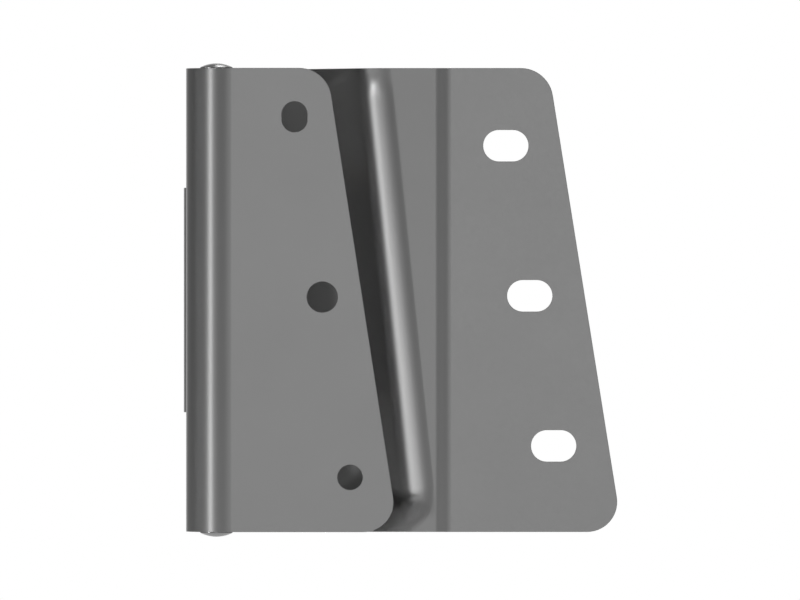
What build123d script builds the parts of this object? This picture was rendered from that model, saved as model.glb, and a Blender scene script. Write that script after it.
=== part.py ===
from build123d import *

import os
from math import acos, asin, cos, degrees, radians, sin, sqrt, tan

# Cabin door hinge in pressed sheet steel, in millimetres.
# Z is the pin axis, and the origin is on that axis at mid-height.
# The door is closed. The seen face looks towards -Y, and both leaves reach towards +X.

# Sheet and outline
sheet = 4.0
leaf_height = 154.5
upper_corner_radius = 10.8
lower_corner_radius = 10.0
leaf_lap_gap = 1.0

# Pin and bushes
pin_diameter = 10.0
pin_end_diameter = 8.0
pin_head_diameter = 10.8
pin_head_height = 1.9
pin_head_rim = 0.6
end_bush_wall = 2.0
bearing_bush_wall = 1.85
bearing_clearance = 0.05
bearing_bush_length = 20.0
bearing_flange_radius = 9.0
bearing_flange_thickness = 1.0
end_play = 0.15

# Rolled knuckles
door_knuckle_length = 75.0
roll_seam = 1.0
neck_clearance = 0.76
neck_bend_radius = 11.2

# Pillar leaf flat
pillar_reach = 48.98
pillar_rake = 8.75
pillar_hole_inset = 13.3
pillar_hole_pitch = 60.0
pillar_hole_shift = 1.0
middle_hole_diameter = 10.3
lower_hole_diameter = 8.4
upper_hole_width = 8.6
upper_hole_height = 10.3

# Door leaf flat
door_reach = 123.13
door_rake = 9.05
slot_inset = 18.3
slot_pitch = 50.0
slot_shift = 1.4
slot_length = 15.1
slot_width = 10.5
step_height = 0.9
step_tilt = 15.0
step_bend_radius = 8.0
step_lead = 0.6
step_margin = 0.05
land_tilt = 2.6

# Door leaf pressed recess
rim_position = 66.2
rim_rake = 5.7
web_tilt = 56.0
rim_bend_radius = 14.5
floor_bend_radius = 6.0
recess_corner_radius = 6.0
foot_run_out = 66.7
foot_rake = 28.0
head_run_out = 62.7
head_rake = 45.0
knuckle_relief = 4.0
tab_relief_radius = 3.0
floor_corner_radius = 6.0

# Sizes that follow from the ones above
end_bush_radius = pin_end_diameter / 2 + end_bush_wall
bearing_bore_radius = pin_diameter / 2 + bearing_clearance
bearing_bush_radius = bearing_bore_radius + bearing_bush_wall
pillar_eye_radius = end_bush_radius + sheet
door_eye_radius = bearing_bush_radius + sheet
half_height = leaf_height / 2
half_knuckle = door_knuckle_length / 2
inner_end = half_knuckle + bearing_flange_thickness + end_play
eye_length = half_height - inner_end
neck_straight = sqrt((door_eye_radius + neck_clearance) ** 2 - end_bush_radius**2)
neck_outer_radius = neck_bend_radius + sheet
neck_x = neck_outer_radius - pillar_eye_radius
pillar_front = -(neck_straight + neck_outer_radius)
lap_face = pillar_front + sheet + leaf_lap_gap
notch_x = pillar_eye_radius + knuckle_relief
step_start = rim_position + half_height * tan(radians(rim_rake)) - step_lead
stepped_from = step_start - sheet / 2 * sin(radians(land_tilt)) - step_margin

# The land between the recess and the step leans back from the step's foot
land_back = Vector(sin(radians(land_tilt)), cos(radians(land_tilt)), 0)
land_plane = Plane((step_start, lap_face, 0), z_dir=land_back)

# Cutting volumes reach this far past the part, and the recess is shaped in this working block
beyond = 60.0
block = 480.0
block_left = -30.0
block_right = 180.0
block_border = 0.1


def ring_sector(centre, inner, outer, start, sweep):
    """Flat ring sector, counter-clockwise from the start angle."""
    outside = CenterArc(centre, outer, start, sweep)
    inside = CenterArc(centre, inner, start, sweep)
    ends = Line(inside @ 0, outside @ 0) + Line(inside @ 1, outside @ 1)
    return make_face(outside + inside + ends)


def upright(face, height):
    """A section in the XY plane drawn out along the pin axis, centred on mid-height."""
    return extrude(face, height / 2, both=True)


def plan_cutter(points, radii):
    """An outline in the XZ plane with rounded corners, drawn out through the whole depth."""
    outline = FilletPolyline(*points, radius=radii, close=True)
    return extrude(Plane.XZ * make_face(outline), beyond, both=True)


def band(x_min, x_max, y_min, y_max):
    """A rectangle between two X and two Y values."""
    return Pos((x_min + x_max) / 2, (y_min + y_max) / 2) * Rectangle(x_max - x_min, y_max - y_min)


def raked_x(reach, rake, z):
    """X at height z of a line that crosses mid-height at reach and leans outwards going down."""
    return reach - z * tan(radians(rake))


def land_depth(x, skin=0):
    """Y of the land's front face at x, or of its back with a skin."""
    return lap_face + (step_start - x) * tan(radians(land_tilt)) + skin / cos(radians(land_tilt))


def pillar_holes():
    """The middle round hole, the lower round hole and the upright oval above them."""
    line = pillar_reach - pillar_hole_inset
    heights = [pillar_hole_shift + row * pillar_hole_pitch for row in (-1, 0, 1)]
    places = [Pos(raked_x(line, pillar_rake, z), z) for z in heights]
    oval = Rot(0, 0, 90) * SlotOverall(upper_hole_height, upper_hole_width)
    holes = places[0] * Circle(lower_hole_diameter / 2)
    holes += places[1] * Circle(middle_hole_diameter / 2)
    holes += places[2] * oval
    return extrude(Plane.XZ * holes, beyond, both=True)


def make_pillar_leaf():
    """Narrow leaf: flat, long swan-neck bend and two rolled eyes, from one sheet."""
    far = pillar_reach + beyond
    flat = band(neck_x, far, pillar_front, pillar_front + sheet)
    bend = ring_sector((neck_x, -neck_straight), neck_bend_radius, neck_outer_radius, 180, 90)
    neck = upright(flat + bend, leaf_height)
    wall = band(-pillar_eye_radius, -end_bush_radius, -neck_straight, 0)
    roll_end = degrees(acos((end_bush_radius - roll_seam) / pillar_eye_radius)) - 180
    roll = ring_sector((0, 0), end_bush_radius, pillar_eye_radius, roll_end, 180 - roll_end)
    strap = extrude(wall + roll, eye_length)
    straps = Pos(0, 0, inner_end) * strap + Pos(0, 0, -half_height) * strap
    outline = plan_cutter(
        [
            (-beyond, -half_height),
            (raked_x(pillar_reach, pillar_rake, -half_height), -half_height),
            (raked_x(pillar_reach, pillar_rake, half_height), half_height),
            (-beyond, half_height),
        ],
        [0, lower_corner_radius, upper_corner_radius, 0],
    )
    return (neck & outline) - pillar_holes() + straps


def behind_wall(x, z, lean, skin):
    """Half-space in front of one sloping wall of the recess, or in front of its back with a skin.

    The wall's bend leaves the land along a line through (x, z), and lean is the angle
    of that line's outward normal from +X.
    """
    outward = Vector(cos(radians(lean)), 0, sin(radians(lean)))
    normal = outward * sin(radians(web_tilt)) + Vector(0, cos(radians(web_tilt)), 0)
    fold = radians(land_back.get_angle(normal))
    across = (normal - land_back * cos(fold)).normalized()
    start = Vector(x, land_depth(x), z) - across * rim_bend_radius * tan(fold / 2) + normal * skin
    return Plane(start, z_dir=normal) * Pos(0, 0, -block / 2) * Box(block, block, block)


def lies_in(edge, plane):
    """Whether an edge lies in a plane."""
    return all(abs(plane.to_local_coords(edge @ t).Z) < 1e-4 for t in (0, 0.5, 1))


def recess_bends(form, plane):
    """The edges of the recess in one plane, without the border of the working block."""
    level = [e for e in form.edges() if lies_in(e, plane)]
    return [e for e in level if block_left < (e @ 0.5).X < block_right and abs((e @ 0.5).Z) < block / 2]


def recess_form(skin):
    """All that lies in front of the pressed sheet, or in front of its back with a skin."""
    floor = bearing_bush_radius + skin
    left, right = block_left - block_border, block_right + block_border
    ends = (right, land_depth(right, skin)), (left, land_depth(left, skin))
    land = Polyline((left, -beyond), (right, -beyond), *ends, close=True)
    flat = upright(make_face(land), block + block_border)
    plug = upright(band(left, right, -beyond, floor), block + block_border)
    plug &= behind_wall(rim_position, 0, rim_rake, skin)
    plug &= behind_wall(foot_run_out, -half_height, foot_rake - 90, skin)
    plug &= behind_wall(head_run_out, half_height, head_rake, skin)
    corners = [e for e in plug.edges() if abs(e.tangent_at(0).Y) > 0.1 and e.center().X > 0]
    form = flat + fillet(corners, recess_corner_radius + skin)
    form = fillet(recess_bends(form, land_plane.offset(skin)), rim_bend_radius - skin)
    return fillet(recess_bends(form, Plane.XZ.offset(-floor)), floor_bend_radius + skin)


def half_mitre(first, second):
    """From the middle of the sheet to its back, at a corner between two tilts of the section."""
    middle, half_turn = radians((first + second) / 2), radians((second - first) / 2)
    return Vector(sin(middle), cos(middle)) * (sheet / 2 / cos(half_turn))


def stepped_flat():
    """Slotted part of the door leaf, with the shallow step that brings it forward."""
    left, right = stepped_from, door_reach + beyond
    lower = half_mitre(land_tilt, step_tilt)
    upper = half_mitre(step_tilt, 0)
    inner, outer = step_bend_radius - sheet / 2, step_bend_radius + sheet / 2
    lead = step_bend_radius * tan(radians((step_tilt - land_tilt) / 2))
    near = Vector(step_start + lead, land_depth(step_start + lead) + sheet / 2 / cos(radians(land_tilt)))
    front = lap_face - step_height
    rise = near.Y - sheet / 2 - front
    far = Vector(near.X + rise / tan(radians(step_tilt)), front + sheet / 2)
    section = FilletPolyline(
        (left, land_depth(left)),
        near - lower,
        far - upper,
        (right, front),
        (right, front + sheet),
        far + upper,
        near + lower,
        (left, land_depth(left, sheet)),
        radius=[0, inner, outer, 0, 0, inner, outer, 0],
        close=True,
    )
    return upright(make_face(section), leaf_height)


def door_slots():
    """Three level slots in a row that follows the raked edge."""
    line = door_reach - slot_inset
    heights = [slot_shift + row * slot_pitch for row in (-1, 0, 1)]
    places = Locations(*[(raked_x(line, door_rake, z), z) for z in heights])
    slots = places * SlotOverall(slot_length, slot_width)
    return extrude(Plane.XZ * Sketch(children=slots), beyond, both=True)


def make_door_leaf():
    """Wide leaf: flat with a shallow step, deep pressed recess and one rolled eye."""
    pressed = recess_form(sheet) - recess_form(0)
    pressed &= Pos(stepped_from - block / 2, 0, 0) * Box(block, block, block)
    outline = plan_cutter(
        [
            (0, -half_knuckle),
            (notch_x, -half_knuckle),
            (notch_x, -half_height),
            (raked_x(door_reach, door_rake, -half_height), -half_height),
            (raked_x(door_reach, door_rake, half_height), half_height),
            (notch_x, half_height),
            (notch_x, half_knuckle),
            (0, half_knuckle),
        ],
        [
            0,
            tab_relief_radius,
            floor_corner_radius,
            lower_corner_radius,
            upper_corner_radius,
            floor_corner_radius,
            tab_relief_radius,
            0,
        ],
    )
    roll_end = degrees(asin((bearing_bush_radius - roll_seam) / door_eye_radius))
    roll = ring_sector((0, 0), bearing_bush_radius, door_eye_radius, 90, 270 + roll_end)
    return ((pressed + stepped_flat()) & outline) - door_slots() + upright(roll, door_knuckle_length)


def make_pin():
    """Stepped pin with a low domed head formed over each end bush."""
    rise = pin_head_height - pin_head_rim
    head_radius = pin_head_diameter / 2
    top = half_height + pin_head_height
    half = Polyline(
        (0, 0),
        (pin_diameter / 2, 0),
        (pin_diameter / 2, inner_end),
        (pin_end_diameter / 2, inner_end),
        (pin_end_diameter / 2, half_height),
        (head_radius, half_height),
        (head_radius, half_height + pin_head_rim),
    )
    dome_radius = (head_radius**2 + rise**2) / (2 * rise)
    dome = RadiusArc((head_radius, half_height + pin_head_rim), (0, top), -dome_radius)
    section = make_face(half + dome + Line((0, top), (0, 0)))
    upper = revolve(Plane.XZ * section, Axis.Z)
    return upper + mirror(upper, Plane.XY)


def make_end_bush():
    """Plain bush pressed into one eye of the pillar leaf, standing on Z = 0."""
    return extrude(Circle(end_bush_radius) - Circle(pin_end_diameter / 2), eye_length)


def make_bearing_bush():
    """Flanged bush for one end of the door knuckle, its flange on Z = 0 and its sleeve below."""
    sleeve = Circle(bearing_bush_radius) - Circle(bearing_bore_radius)
    flange = Circle(bearing_flange_radius) - Circle(bearing_bore_radius)
    return extrude(sleeve, -bearing_bush_length) + extrude(flange, bearing_flange_thickness)


def build():
    """Every piece at its place, by node name."""
    end_bush, bearing_bush = make_end_bush(), make_bearing_bush()
    return {
        "pillar_leaf": make_pillar_leaf(),
        "door_leaf": make_door_leaf(),
        "hinge_pin": make_pin(),
        "upper_end_bush": Pos(0, 0, inner_end) * end_bush,
        "lower_end_bush": Pos(0, 0, -half_height) * end_bush,
        "upper_bearing_bush": Pos(0, 0, half_knuckle) * bearing_bush,
        "lower_bearing_bush": Pos(0, 0, -half_knuckle) * Rot(180, 0, 0) * bearing_bush,
    }


os.makedirs("parts", exist_ok=True)
for name, piece in build().items():
    export_step(piece, f"parts/{name}.step")
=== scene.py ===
from math import cos, pi, radians, sin, tan

import bpy
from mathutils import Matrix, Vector


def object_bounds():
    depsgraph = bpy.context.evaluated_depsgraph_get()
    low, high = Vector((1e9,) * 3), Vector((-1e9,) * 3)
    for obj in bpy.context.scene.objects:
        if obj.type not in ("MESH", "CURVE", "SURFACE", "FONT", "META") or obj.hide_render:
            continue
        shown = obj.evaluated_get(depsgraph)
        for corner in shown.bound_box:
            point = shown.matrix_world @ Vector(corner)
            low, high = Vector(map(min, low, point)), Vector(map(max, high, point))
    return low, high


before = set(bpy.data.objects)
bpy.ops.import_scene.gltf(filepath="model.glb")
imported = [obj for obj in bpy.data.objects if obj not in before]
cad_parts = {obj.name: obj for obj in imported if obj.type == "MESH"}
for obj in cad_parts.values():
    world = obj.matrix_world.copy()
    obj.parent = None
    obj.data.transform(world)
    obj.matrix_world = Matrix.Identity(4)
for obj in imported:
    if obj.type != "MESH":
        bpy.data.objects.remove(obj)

# Cabin door hinge: the finishes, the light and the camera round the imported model.
# Metres, Z up along the pin. The seen face of the closed hinge looks towards -Y.

cad_low, cad_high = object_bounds()
MM = 0.001

# Camera: a very long lens, level and square to the leaves
PHOTO_WIDTH = 800
PIXELS_PER_MM = 3.005
CAMERA_DISTANCE = 5.307
CAMERA_X = 61.38 * MM
SENSOR_WIDTH = 36.0
VIEW_END = 100.0

# Plated sheet. The real grain and the real lines of the punch are about 0.1 mm wide, too fine
# to show, so both are drawn coarser.
SHEET_ROUGHNESS = 0.30
SHEET_PATCH = 28 * MM
GRAIN_SIZE = 0.9 * MM
GRAIN_HEIGHT = 0.0012 * MM
GRAIN_ROUGHENING = 0.05
SOFT_CORNER = 0.3 * MM

# Sheared edges: which way their surface looks, and the lines that the punch leaves on them,
# which run from face to face because the noise is shrunk that way
END_EDGE_NORMAL_Z = 0.98
SIDE_EDGE_NORMAL_Y = 0.04
PUNCH_LINE_WIDTH = 0.5 * MM
PUNCH_LINE_SHRINK = 0.06
PUNCH_LINE_HEIGHT = 0.03 * MM
EDGE_ROUGHENING = 0.08

# The rolled eyes end before this X, and the flats and the recess's floor begin
BARREL_CLEAR = 12.0 * MM

# The drawn bend along the recess: about where it leaves the land at mid-height, its lean in
# degrees, its width, and the two ends where it fades out
RIM_X = 66.7 * MM
RIM_RAKE = 5.7
RIM_WIDTH = 12.0 * MM
RIM_TOP = 75.0 * MM
RIM_FOOT = -74.0 * MM
RIM_FADE = 8.0 * MM

# Between its two sides the bend sags. It is grainier all along, and rougher at its head.
RIM_SAG = 0.40 * MM
STRAINED_GRAIN_HEIGHT = 0.006 * MM
HEAD_ROUGHENING = 0.22

# The sheet was stretched most down in the recess, and gets duller between these two depths
RECESS_NEAR_Y = -2.0 * MM
RECESS_FAR_Y = 5.0 * MM
RECESS_ROUGHENING = 0.35

# Turned steel and bronze. Real tool marks are about 0.1 mm apart, so these are drawn coarser.
TURNED_ROUGHNESS = 0.24
TURNED_PATCH = 4 * MM
RING_PITCH = 0.35 * MM
RING_HEIGHT = 0.002 * MM
BRONZE_ROUGHNESS = 0.38
BRONZE_PATCH = 3 * MM

# Studio light by where a ray goes: Y is -1 in front and 1 behind, and X is -1 at the left
FRONT_LEVEL = 0.27
SIDE_LEVEL = 0.215
FRONT_Y = -0.9
SIDE_Y = 0.0
LEFT_SHARE = 0.7
LEFT_FULL_X = -0.95
LEFT_START_X = -0.7
BACKDROP_EDGE = 0.85

# Floor
FLOOR_DROP = 0.12
FLOOR_RADIUS = 1.5
FLOOR_SIDES = 96
FLOOR_ROUGHNESS = 0.9
FLOOR_LIFT = 0.72
FLOOR_GLOSS_LIFT = 0.3

# A far lamp works the same at any distance
FAR_LIGHT_DISTANCE = 3.0


def linear(code):
    """Linear RGBA of an sRGB hex code."""
    channels = [int(code[k : k + 2], 16) / 255 for k in (0, 2, 4)]
    return (*(c / 12.92 if c <= 0.04045 else ((c + 0.055) / 1.055) ** 2.4 for c in channels), 1.0)


def add(tree, kind, inputs=(), **settings):
    """Adds a node, sets its properties and fills its inputs with values, sockets or other nodes."""
    node = tree.nodes.new(kind)
    for name, value in settings.items():
        setattr(node, name, value)
    for key, value in dict(inputs).items():
        if isinstance(value, bpy.types.Node):
            value = value.outputs[0]
        if isinstance(value, bpy.types.NodeSocket):
            tree.links.new(value, node.inputs[key])
        else:
            node.inputs[key].default_value = value
    return node


def new_metal(name, roughness):
    """A metal with its default IOR, and its tree, its shader and its place on the object."""
    metal = bpy.data.materials.new(name)
    metal.use_nodes = True
    tree = metal.node_tree
    shader = tree.nodes["Principled BSDF"]
    shader.inputs["Metallic"].default_value = 1.0
    shader.inputs["Roughness"].default_value = roughness
    return metal, tree, shader, add(tree, "ShaderNodeTexCoord")


def mottled(tree, place, patch, dark, light):
    """A colour that drifts between two greys or browns over patches of one size."""
    cloud = add(
        tree,
        "ShaderNodeTexNoise",
        {"Vector": place.outputs["Object"], "Scale": 1 / patch, "Detail": 3.0},
    )
    colour = add(
        tree,
        "ShaderNodeMix",
        {"Factor": cloud.outputs["Fac"], "A": linear(dark), "B": linear(light)},
        data_type="RGBA",
    )
    return colour.outputs["Result"]


def sheared_edge(tree, facing, clear):
    """1 on the cut edges of the sheet and in its holes, and 0 on its two faces and its bends."""
    upward = add(tree, "ShaderNodeMath", {0: facing.outputs["Z"]}, operation="ABSOLUTE")
    end = add(tree, "ShaderNodeMath", {0: upward, 1: END_EDGE_NORMAL_Z}, operation="GREATER_THAN")
    outward = add(tree, "ShaderNodeMath", {0: facing.outputs["Y"]}, operation="ABSOLUTE")
    side = add(tree, "ShaderNodeMath", {0: outward, 1: SIDE_EDGE_NORMAL_Y}, operation="LESS_THAN")
    flat_side = add(tree, "ShaderNodeMath", {0: side, 1: clear}, operation="MULTIPLY")
    return add(tree, "ShaderNodeMath", {0: end, 1: flat_side}, operation="MAXIMUM")


def drawn_rim(tree, at):
    """How far across the recess's bend a place lies, 0 to 1, and masks of its run and its head."""
    line = add(
        tree,
        "ShaderNodeMath",
        {0: at.outputs["Z"], 1: -tan(radians(RIM_RAKE)), 2: RIM_X},
        operation="MULTIPLY_ADD",
    )
    inwards = add(tree, "ShaderNodeMath", {0: line, 1: at.outputs["X"]}, operation="SUBTRACT")
    across = add(tree, "ShaderNodeMapRange", {"Value": inwards, "From Max": RIM_WIDTH})
    under_head = add(
        tree,
        "ShaderNodeMapRange",
        {"Value": at.outputs["Z"], "From Min": RIM_TOP, "From Max": RIM_TOP - RIM_FADE},
        interpolation_type="SMOOTHSTEP",
    )
    over_foot = add(
        tree,
        "ShaderNodeMapRange",
        {"Value": at.outputs["Z"], "From Min": RIM_FOOT, "From Max": RIM_FOOT + RIM_FADE},
        interpolation_type="SMOOTHSTEP",
    )
    run = add(tree, "ShaderNodeMath", {0: under_head, 1: over_foot}, operation="MULTIPLY")
    head = add(
        tree,
        "ShaderNodeMapRange",
        {"Value": at.outputs["Z"], "From Min": RIM_TOP - RIM_FADE / 2, "From Max": RIM_TOP},
        interpolation_type="SMOOTHSTEP",
    )
    return across, run, head


def recess_depth(tree, at, facing, clear):
    """1 on the seen face of the recess's floor, fading up its walls, and 0 elsewhere."""
    deep = add(
        tree,
        "ShaderNodeMapRange",
        {"Value": at.outputs["Y"], "From Min": RECESS_NEAR_Y, "From Max": RECESS_FAR_Y},
        interpolation_type="SMOOTHSTEP",
    )
    front = add(tree, "ShaderNodeMath", {0: facing.outputs["Y"], 1: 0.0}, operation="LESS_THAN")
    seen = add(tree, "ShaderNodeMath", {0: front, 1: clear}, operation="MULTIPLY")
    return add(tree, "ShaderNodeMath", {0: deep, 1: seen}, operation="MULTIPLY")


def strained(tree, at, facing, clear, grain, height, rough):
    """The height and the roughness of a sheet, with the marks of its deep drawing added."""
    across, run, head = drawn_rim(tree, at)
    turn = add(tree, "ShaderNodeMath", {0: across, 1: 2 * pi}, operation="MULTIPLY")
    wave = add(tree, "ShaderNodeMath", {0: turn}, operation="COSINE")
    sag = add(
        tree,
        "ShaderNodeMath",
        {0: wave, 1: RIM_SAG / 2, 2: -RIM_SAG / 2},
        operation="MULTIPLY_ADD",
    )
    bend = add(
        tree,
        "ShaderNodeMath",
        {0: grain, 1: STRAINED_GRAIN_HEIGHT, 2: sag},
        operation="MULTIPLY_ADD",
    )
    height = add(tree, "ShaderNodeMath", {0: bend, 1: run, 2: height}, operation="MULTIPLY_ADD")
    # The middle of the bend counts 1, and its two sides 0
    middle = add(tree, "ShaderNodeMath", {0: wave, 1: -0.5, 2: 0.5}, operation="MULTIPLY_ADD")
    worked = add(tree, "ShaderNodeMath", {0: middle, 1: head}, operation="MULTIPLY")
    rough = add(
        tree, "ShaderNodeMath", {0: worked, 1: HEAD_ROUGHENING, 2: rough}, operation="MULTIPLY_ADD"
    )
    deep = recess_depth(tree, at, facing, clear)
    rough = add(
        tree, "ShaderNodeMath", {0: deep, 1: RECESS_ROUGHENING, 2: rough}, operation="MULTIPLY_ADD"
    )
    return height, rough


def plated_sheet_steel(name, drawn):
    """Cold-rolled sheet, pressed and zinc plated: an even mid grey with a soft satin sheen.

    The plating keeps the sheet's fine matt grain, and the sheared edges are darker and show the
    punch's lines from face to face. Where the sheet was deep drawn, the bend is grainier and not
    quite round, and the recess is dull.
    """
    metal, tree, shader, place = new_metal(name, SHEET_ROUGHNESS)
    at = add(tree, "ShaderNodeSeparateXYZ", {"Vector": place.outputs["Object"]})
    facing = add(tree, "ShaderNodeSeparateXYZ", {"Vector": place.outputs["Normal"]})
    clear = add(tree, "ShaderNodeMath", {0: at.outputs["X"], 1: BARREL_CLEAR}, operation="GREATER_THAN")
    edge = sheared_edge(tree, facing, clear)
    grey = mottled(tree, place, SHEET_PATCH, dark="9C9C9C", light="A2A2A2")
    colour = add(
        tree, "ShaderNodeMix", {"Factor": edge, "A": grey, "B": linear("929292")}, data_type="RGBA"
    )

    grain = add(
        tree,
        "ShaderNodeTexNoise",
        {"Vector": place.outputs["Object"], "Scale": 1 / GRAIN_SIZE, "Detail": 2.0},
    ).outputs["Fac"]
    smoothest = SHEET_ROUGHNESS - GRAIN_ROUGHENING / 2
    rough = add(
        tree, "ShaderNodeMath", {0: grain, 1: GRAIN_ROUGHENING, 2: smoothest}, operation="MULTIPLY_ADD"
    )
    rough = add(tree, "ShaderNodeMath", {0: edge, 1: EDGE_ROUGHENING, 2: rough}, operation="MULTIPLY_ADD")

    height = add(tree, "ShaderNodeMath", {0: grain, 1: GRAIN_HEIGHT}, operation="MULTIPLY")
    through = add(
        tree,
        "ShaderNodeMapping",
        {"Vector": place.outputs["Object"], "Scale": (1, PUNCH_LINE_SHRINK, 1)},
    )
    lines = add(
        tree,
        "ShaderNodeTexNoise",
        {"Vector": through, "Scale": 1 / PUNCH_LINE_WIDTH, "Detail": 2.0},
    )
    cut = add(tree, "ShaderNodeMath", {0: edge, 1: lines.outputs["Fac"]}, operation="MULTIPLY")
    height = add(
        tree, "ShaderNodeMath", {0: cut, 1: PUNCH_LINE_HEIGHT, 2: height}, operation="MULTIPLY_ADD"
    )
    if drawn:
        height, rough = strained(tree, at, facing, clear, grain, height, rough)

    soft = add(tree, "ShaderNodeBevel", {"Radius": SOFT_CORNER}, samples=4)
    bump = add(tree, "ShaderNodeBump", {"Height": height, "Distance": 1.0, "Normal": soft})
    tree.links.new(colour.outputs["Result"], shader.inputs["Base Color"])
    tree.links.new(rough.outputs[0], shader.inputs["Roughness"])
    tree.links.new(bump.outputs[0], shader.inputs["Normal"])
    return metal


def turned_steel():
    """Bar turned to size and zinc plated: brighter than the sheet, with fine rings from the tool."""
    metal, tree, shader, place = new_metal("turned_zinc_plated_steel", TURNED_ROUGHNESS)
    at = add(tree, "ShaderNodeSeparateXYZ", {"Vector": place.outputs["Object"]})
    level = add(tree, "ShaderNodeCombineXYZ", {"X": at.outputs["X"], "Y": at.outputs["Y"]})
    radius = add(tree, "ShaderNodeVectorMath", {0: level}, operation="LENGTH")
    turns = add(
        tree,
        "ShaderNodeMath",
        {0: radius.outputs["Value"], 1: 2 * pi / RING_PITCH},
        operation="MULTIPLY",
    )
    rings = add(tree, "ShaderNodeMath", {0: turns}, operation="SINE")
    bump = add(tree, "ShaderNodeBump", {"Height": rings, "Distance": RING_HEIGHT})
    grey = mottled(tree, place, TURNED_PATCH, dark="A6A6A6", light="B0B0B0")
    tree.links.new(grey, shader.inputs["Base Color"])
    tree.links.new(bump.outputs[0], shader.inputs["Normal"])
    return metal


def bearing_bronze():
    """Plain bearing bronze, machined and a little dulled: a warm brown yellow."""
    metal, tree, shader, place = new_metal("machined_bearing_bronze", BRONZE_ROUGHNESS)
    brown = mottled(tree, place, BRONZE_PATCH, dark="A07546", light="BE965E")
    tree.links.new(brown, shader.inputs["Base Color"])
    return metal


def dress(names, metal):
    """Gives CAD nodes a finish."""
    for name in names:
        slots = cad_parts[name].data.materials
        slots.clear()
        slots.append(metal)


def looked_at(tree, rays):
    """1 for what the camera sees, straight or through glass."""
    return add(
        tree,
        "ShaderNodeMath",
        {0: rays.outputs["Is Camera Ray"], 1: rays.outputs["Is Transmission Ray"]},
        operation="MAXIMUM",
    )


def make_world():
    """White for the camera and for gloss that mirrors the backdrop, and a grey studio elsewhere."""
    world = bpy.data.worlds.new("studio")
    bpy.context.scene.world = world
    world.use_nodes = True
    tree = world.node_tree
    tree.nodes.clear()
    rays = add(tree, "ShaderNodeLightPath")
    heading = add(tree, "ShaderNodeTexCoord")
    split = add(tree, "ShaderNodeSeparateXYZ", {"Vector": heading.outputs["Generated"]})
    all_round = add(
        tree,
        "ShaderNodeMapRange",
        {
            "Value": split.outputs["Y"],
            "From Min": FRONT_Y,
            "From Max": SIDE_Y,
            "To Min": FRONT_LEVEL,
            "To Max": SIDE_LEVEL,
        },
    )
    left = add(
        tree,
        "ShaderNodeMapRange",
        {
            "Value": split.outputs["X"],
            "From Min": LEFT_FULL_X,
            "From Max": LEFT_START_X,
            "To Min": LEFT_SHARE,
            "To Max": 1.0,
        },
        interpolation_type="SMOOTHSTEP",
    )
    studio = add(tree, "ShaderNodeMath", {0: all_round, 1: left}, operation="MULTIPLY")
    behind = add(tree, "ShaderNodeMapRange", {"Value": split.outputs["Y"], "From Min": BACKDROP_EDGE})
    gloss = add(
        tree,
        "ShaderNodeMath",
        {0: rays.outputs["Is Glossy Ray"], 1: behind},
        operation="MULTIPLY",
    )
    white = add(tree, "ShaderNodeMath", {0: looked_at(tree, rays), 1: gloss}, operation="MAXIMUM")
    level = add(tree, "ShaderNodeMix", {"Factor": white, "A": studio, "B": 1.0})
    light = add(tree, "ShaderNodeBackground", {"Color": (1, 1, 1, 1), "Strength": level})
    add(tree, "ShaderNodeOutputWorld", {"Surface": light})


def make_floor():
    """A plain pale floor well under the hinge, which is held up by its mounting face.

    Its glow makes it as white as the backdrop for the camera and lighter in gloss, and its
    colour alone takes the light and the hinge's shadow.
    """
    bpy.ops.mesh.primitive_circle_add(vertices=FLOOR_SIDES, radius=FLOOR_RADIUS, fill_type="NGON")
    floor = bpy.context.object
    floor.name = "floor"
    floor.location.z = cad_low.z - FLOOR_DROP
    pale = bpy.data.materials.new("pale_floor")
    pale.use_nodes = True
    tree = pale.node_tree
    shader = tree.nodes["Principled BSDF"]
    shader.inputs["Base Color"].default_value = linear("F4F4F4")
    shader.inputs["Roughness"].default_value = FLOOR_ROUGHNESS
    rays = add(tree, "ShaderNodeLightPath")
    gloss = add(
        tree,
        "ShaderNodeMath",
        {0: rays.outputs["Is Glossy Ray"], 1: FLOOR_GLOSS_LIFT},
        operation="MULTIPLY",
    )
    lift = add(
        tree,
        "ShaderNodeMath",
        {0: looked_at(tree, rays), 1: FLOOR_LIFT, 2: gloss},
        operation="MULTIPLY_ADD",
    )
    glow = add(tree, "ShaderNodeEmission", {"Color": (1, 1, 1, 1), "Strength": lift})
    whole = add(tree, "ShaderNodeAddShader", {0: shader, 1: glow})
    tree.links.new(whole.outputs[0], tree.nodes["Material Output"].inputs["Surface"])
    floor.data.materials.append(pale)


def make_camera():
    """The photograph's view: level and square to the leaves, from far off."""
    lens = bpy.data.cameras.new("camera")
    lens.sensor_width = SENSOR_WIDTH
    lens.lens = PIXELS_PER_MM / MM * CAMERA_DISTANCE / PHOTO_WIDTH * SENSOR_WIDTH
    lens.clip_end = VIEW_END
    camera = bpy.data.objects.new("camera", lens)
    camera.location = (CAMERA_X, cad_low.y - CAMERA_DISTANCE, 0.0)
    camera.rotation_euler = (radians(90), 0, 0)
    bpy.context.scene.collection.objects.link(camera)
    bpy.context.scene.camera = camera


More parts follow.
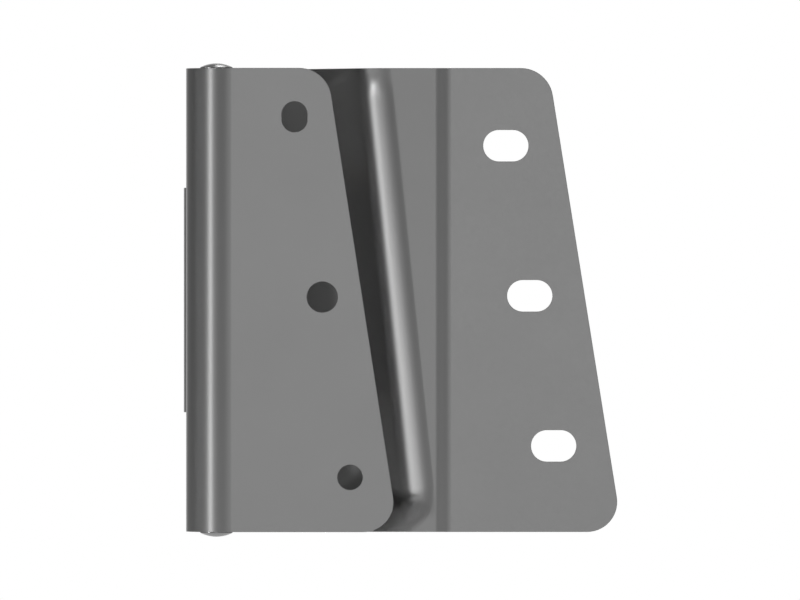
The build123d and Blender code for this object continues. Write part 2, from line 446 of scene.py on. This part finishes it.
def place_light(name, lamp, azimuth, elevation, distance):
    """Puts a lamp round the object, facing it. Azimuth 0 is the camera's side and 90 is -X."""
    light = bpy.data.objects.new(name, lamp)
    bpy.context.scene.collection.objects.link(light)
    a, e = radians(azimuth), radians(elevation)
    away = Vector((-sin(a) * cos(e), -cos(a) * cos(e), sin(e)))
    light.location = Vector((CAMERA_X, 0, 0)) + away * distance
    light.rotation_mode = "QUATERNION"
    light.rotation_quaternion = away.to_track_quat("Z", "Y")
    return light


def soft_light(name, azimuth, elevation, distance, width, height, radiance):
    """A rectangular soft box that the camera doesn't see."""
    lamp = bpy.data.lights.new(name, "AREA")
    lamp.shape = "RECTANGLE"
    lamp.size, lamp.size_y = width, height
    lamp.energy = radiance * pi * width * height
    place_light(name, lamp, azimuth, elevation, distance).visible_camera = False


def far_light(name, azimuth, elevation, spread, strength):
    """A far lamp without shadows, for the gloss on the bends and for fill.

    Its light is taken by lamp sampling alone, because a glossy ray that the other leaf stops
    would otherwise take its share of that light away.
    """
    lamp = bpy.data.lights.new(name, "SUN")
    lamp.angle = radians(spread)
    lamp.energy = strength
    lamp.use_shadow = False
    lamp.cycles.use_multiple_importance_sampling = False
    place_light(name, lamp, azimuth, elevation, FAR_LIGHT_DISTANCE)


def make_lights():
    """A large soft box in front, a small one high at the back, and the far lamps."""
    soft_light(
        "front_soft_box", azimuth=0, elevation=0, distance=7.0, width=1.7, height=3.0, radiance=0.78
    )
    soft_light(
        "high_back_box", azimuth=-171, elevation=47, distance=2.0, width=0.6, height=0.35, radiance=3.5
    )
    far_light("left_strip", azimuth=55.2, elevation=0.5, spread=4, strength=0.086)
    far_light("low_left_spot", azimuth=56.0, elevation=-12, spread=6, strength=0.16)
    far_light("left_fill", azimuth=91, elevation=0, spread=26, strength=0.021)
    far_light("high_fill", azimuth=35, elevation=50, spread=70, strength=0.16)
    far_light("low_fill", azimuth=60, elevation=-50, spread=70, strength=0.10)


dress(["pillar_leaf"], plated_sheet_steel("zinc_plated_sheet_steel", drawn=False))
dress(["door_leaf"], plated_sheet_steel("zinc_plated_drawn_sheet_steel", drawn=True))
dress(["hinge_pin", "upper_end_bush", "lower_end_bush"], turned_steel())
dress(["upper_bearing_bush", "lower_bearing_bush"], bearing_bronze())
make_world()
make_floor()
make_camera()
make_lights()
bpy.context.scene.view_settings.view_transform = "Standard"
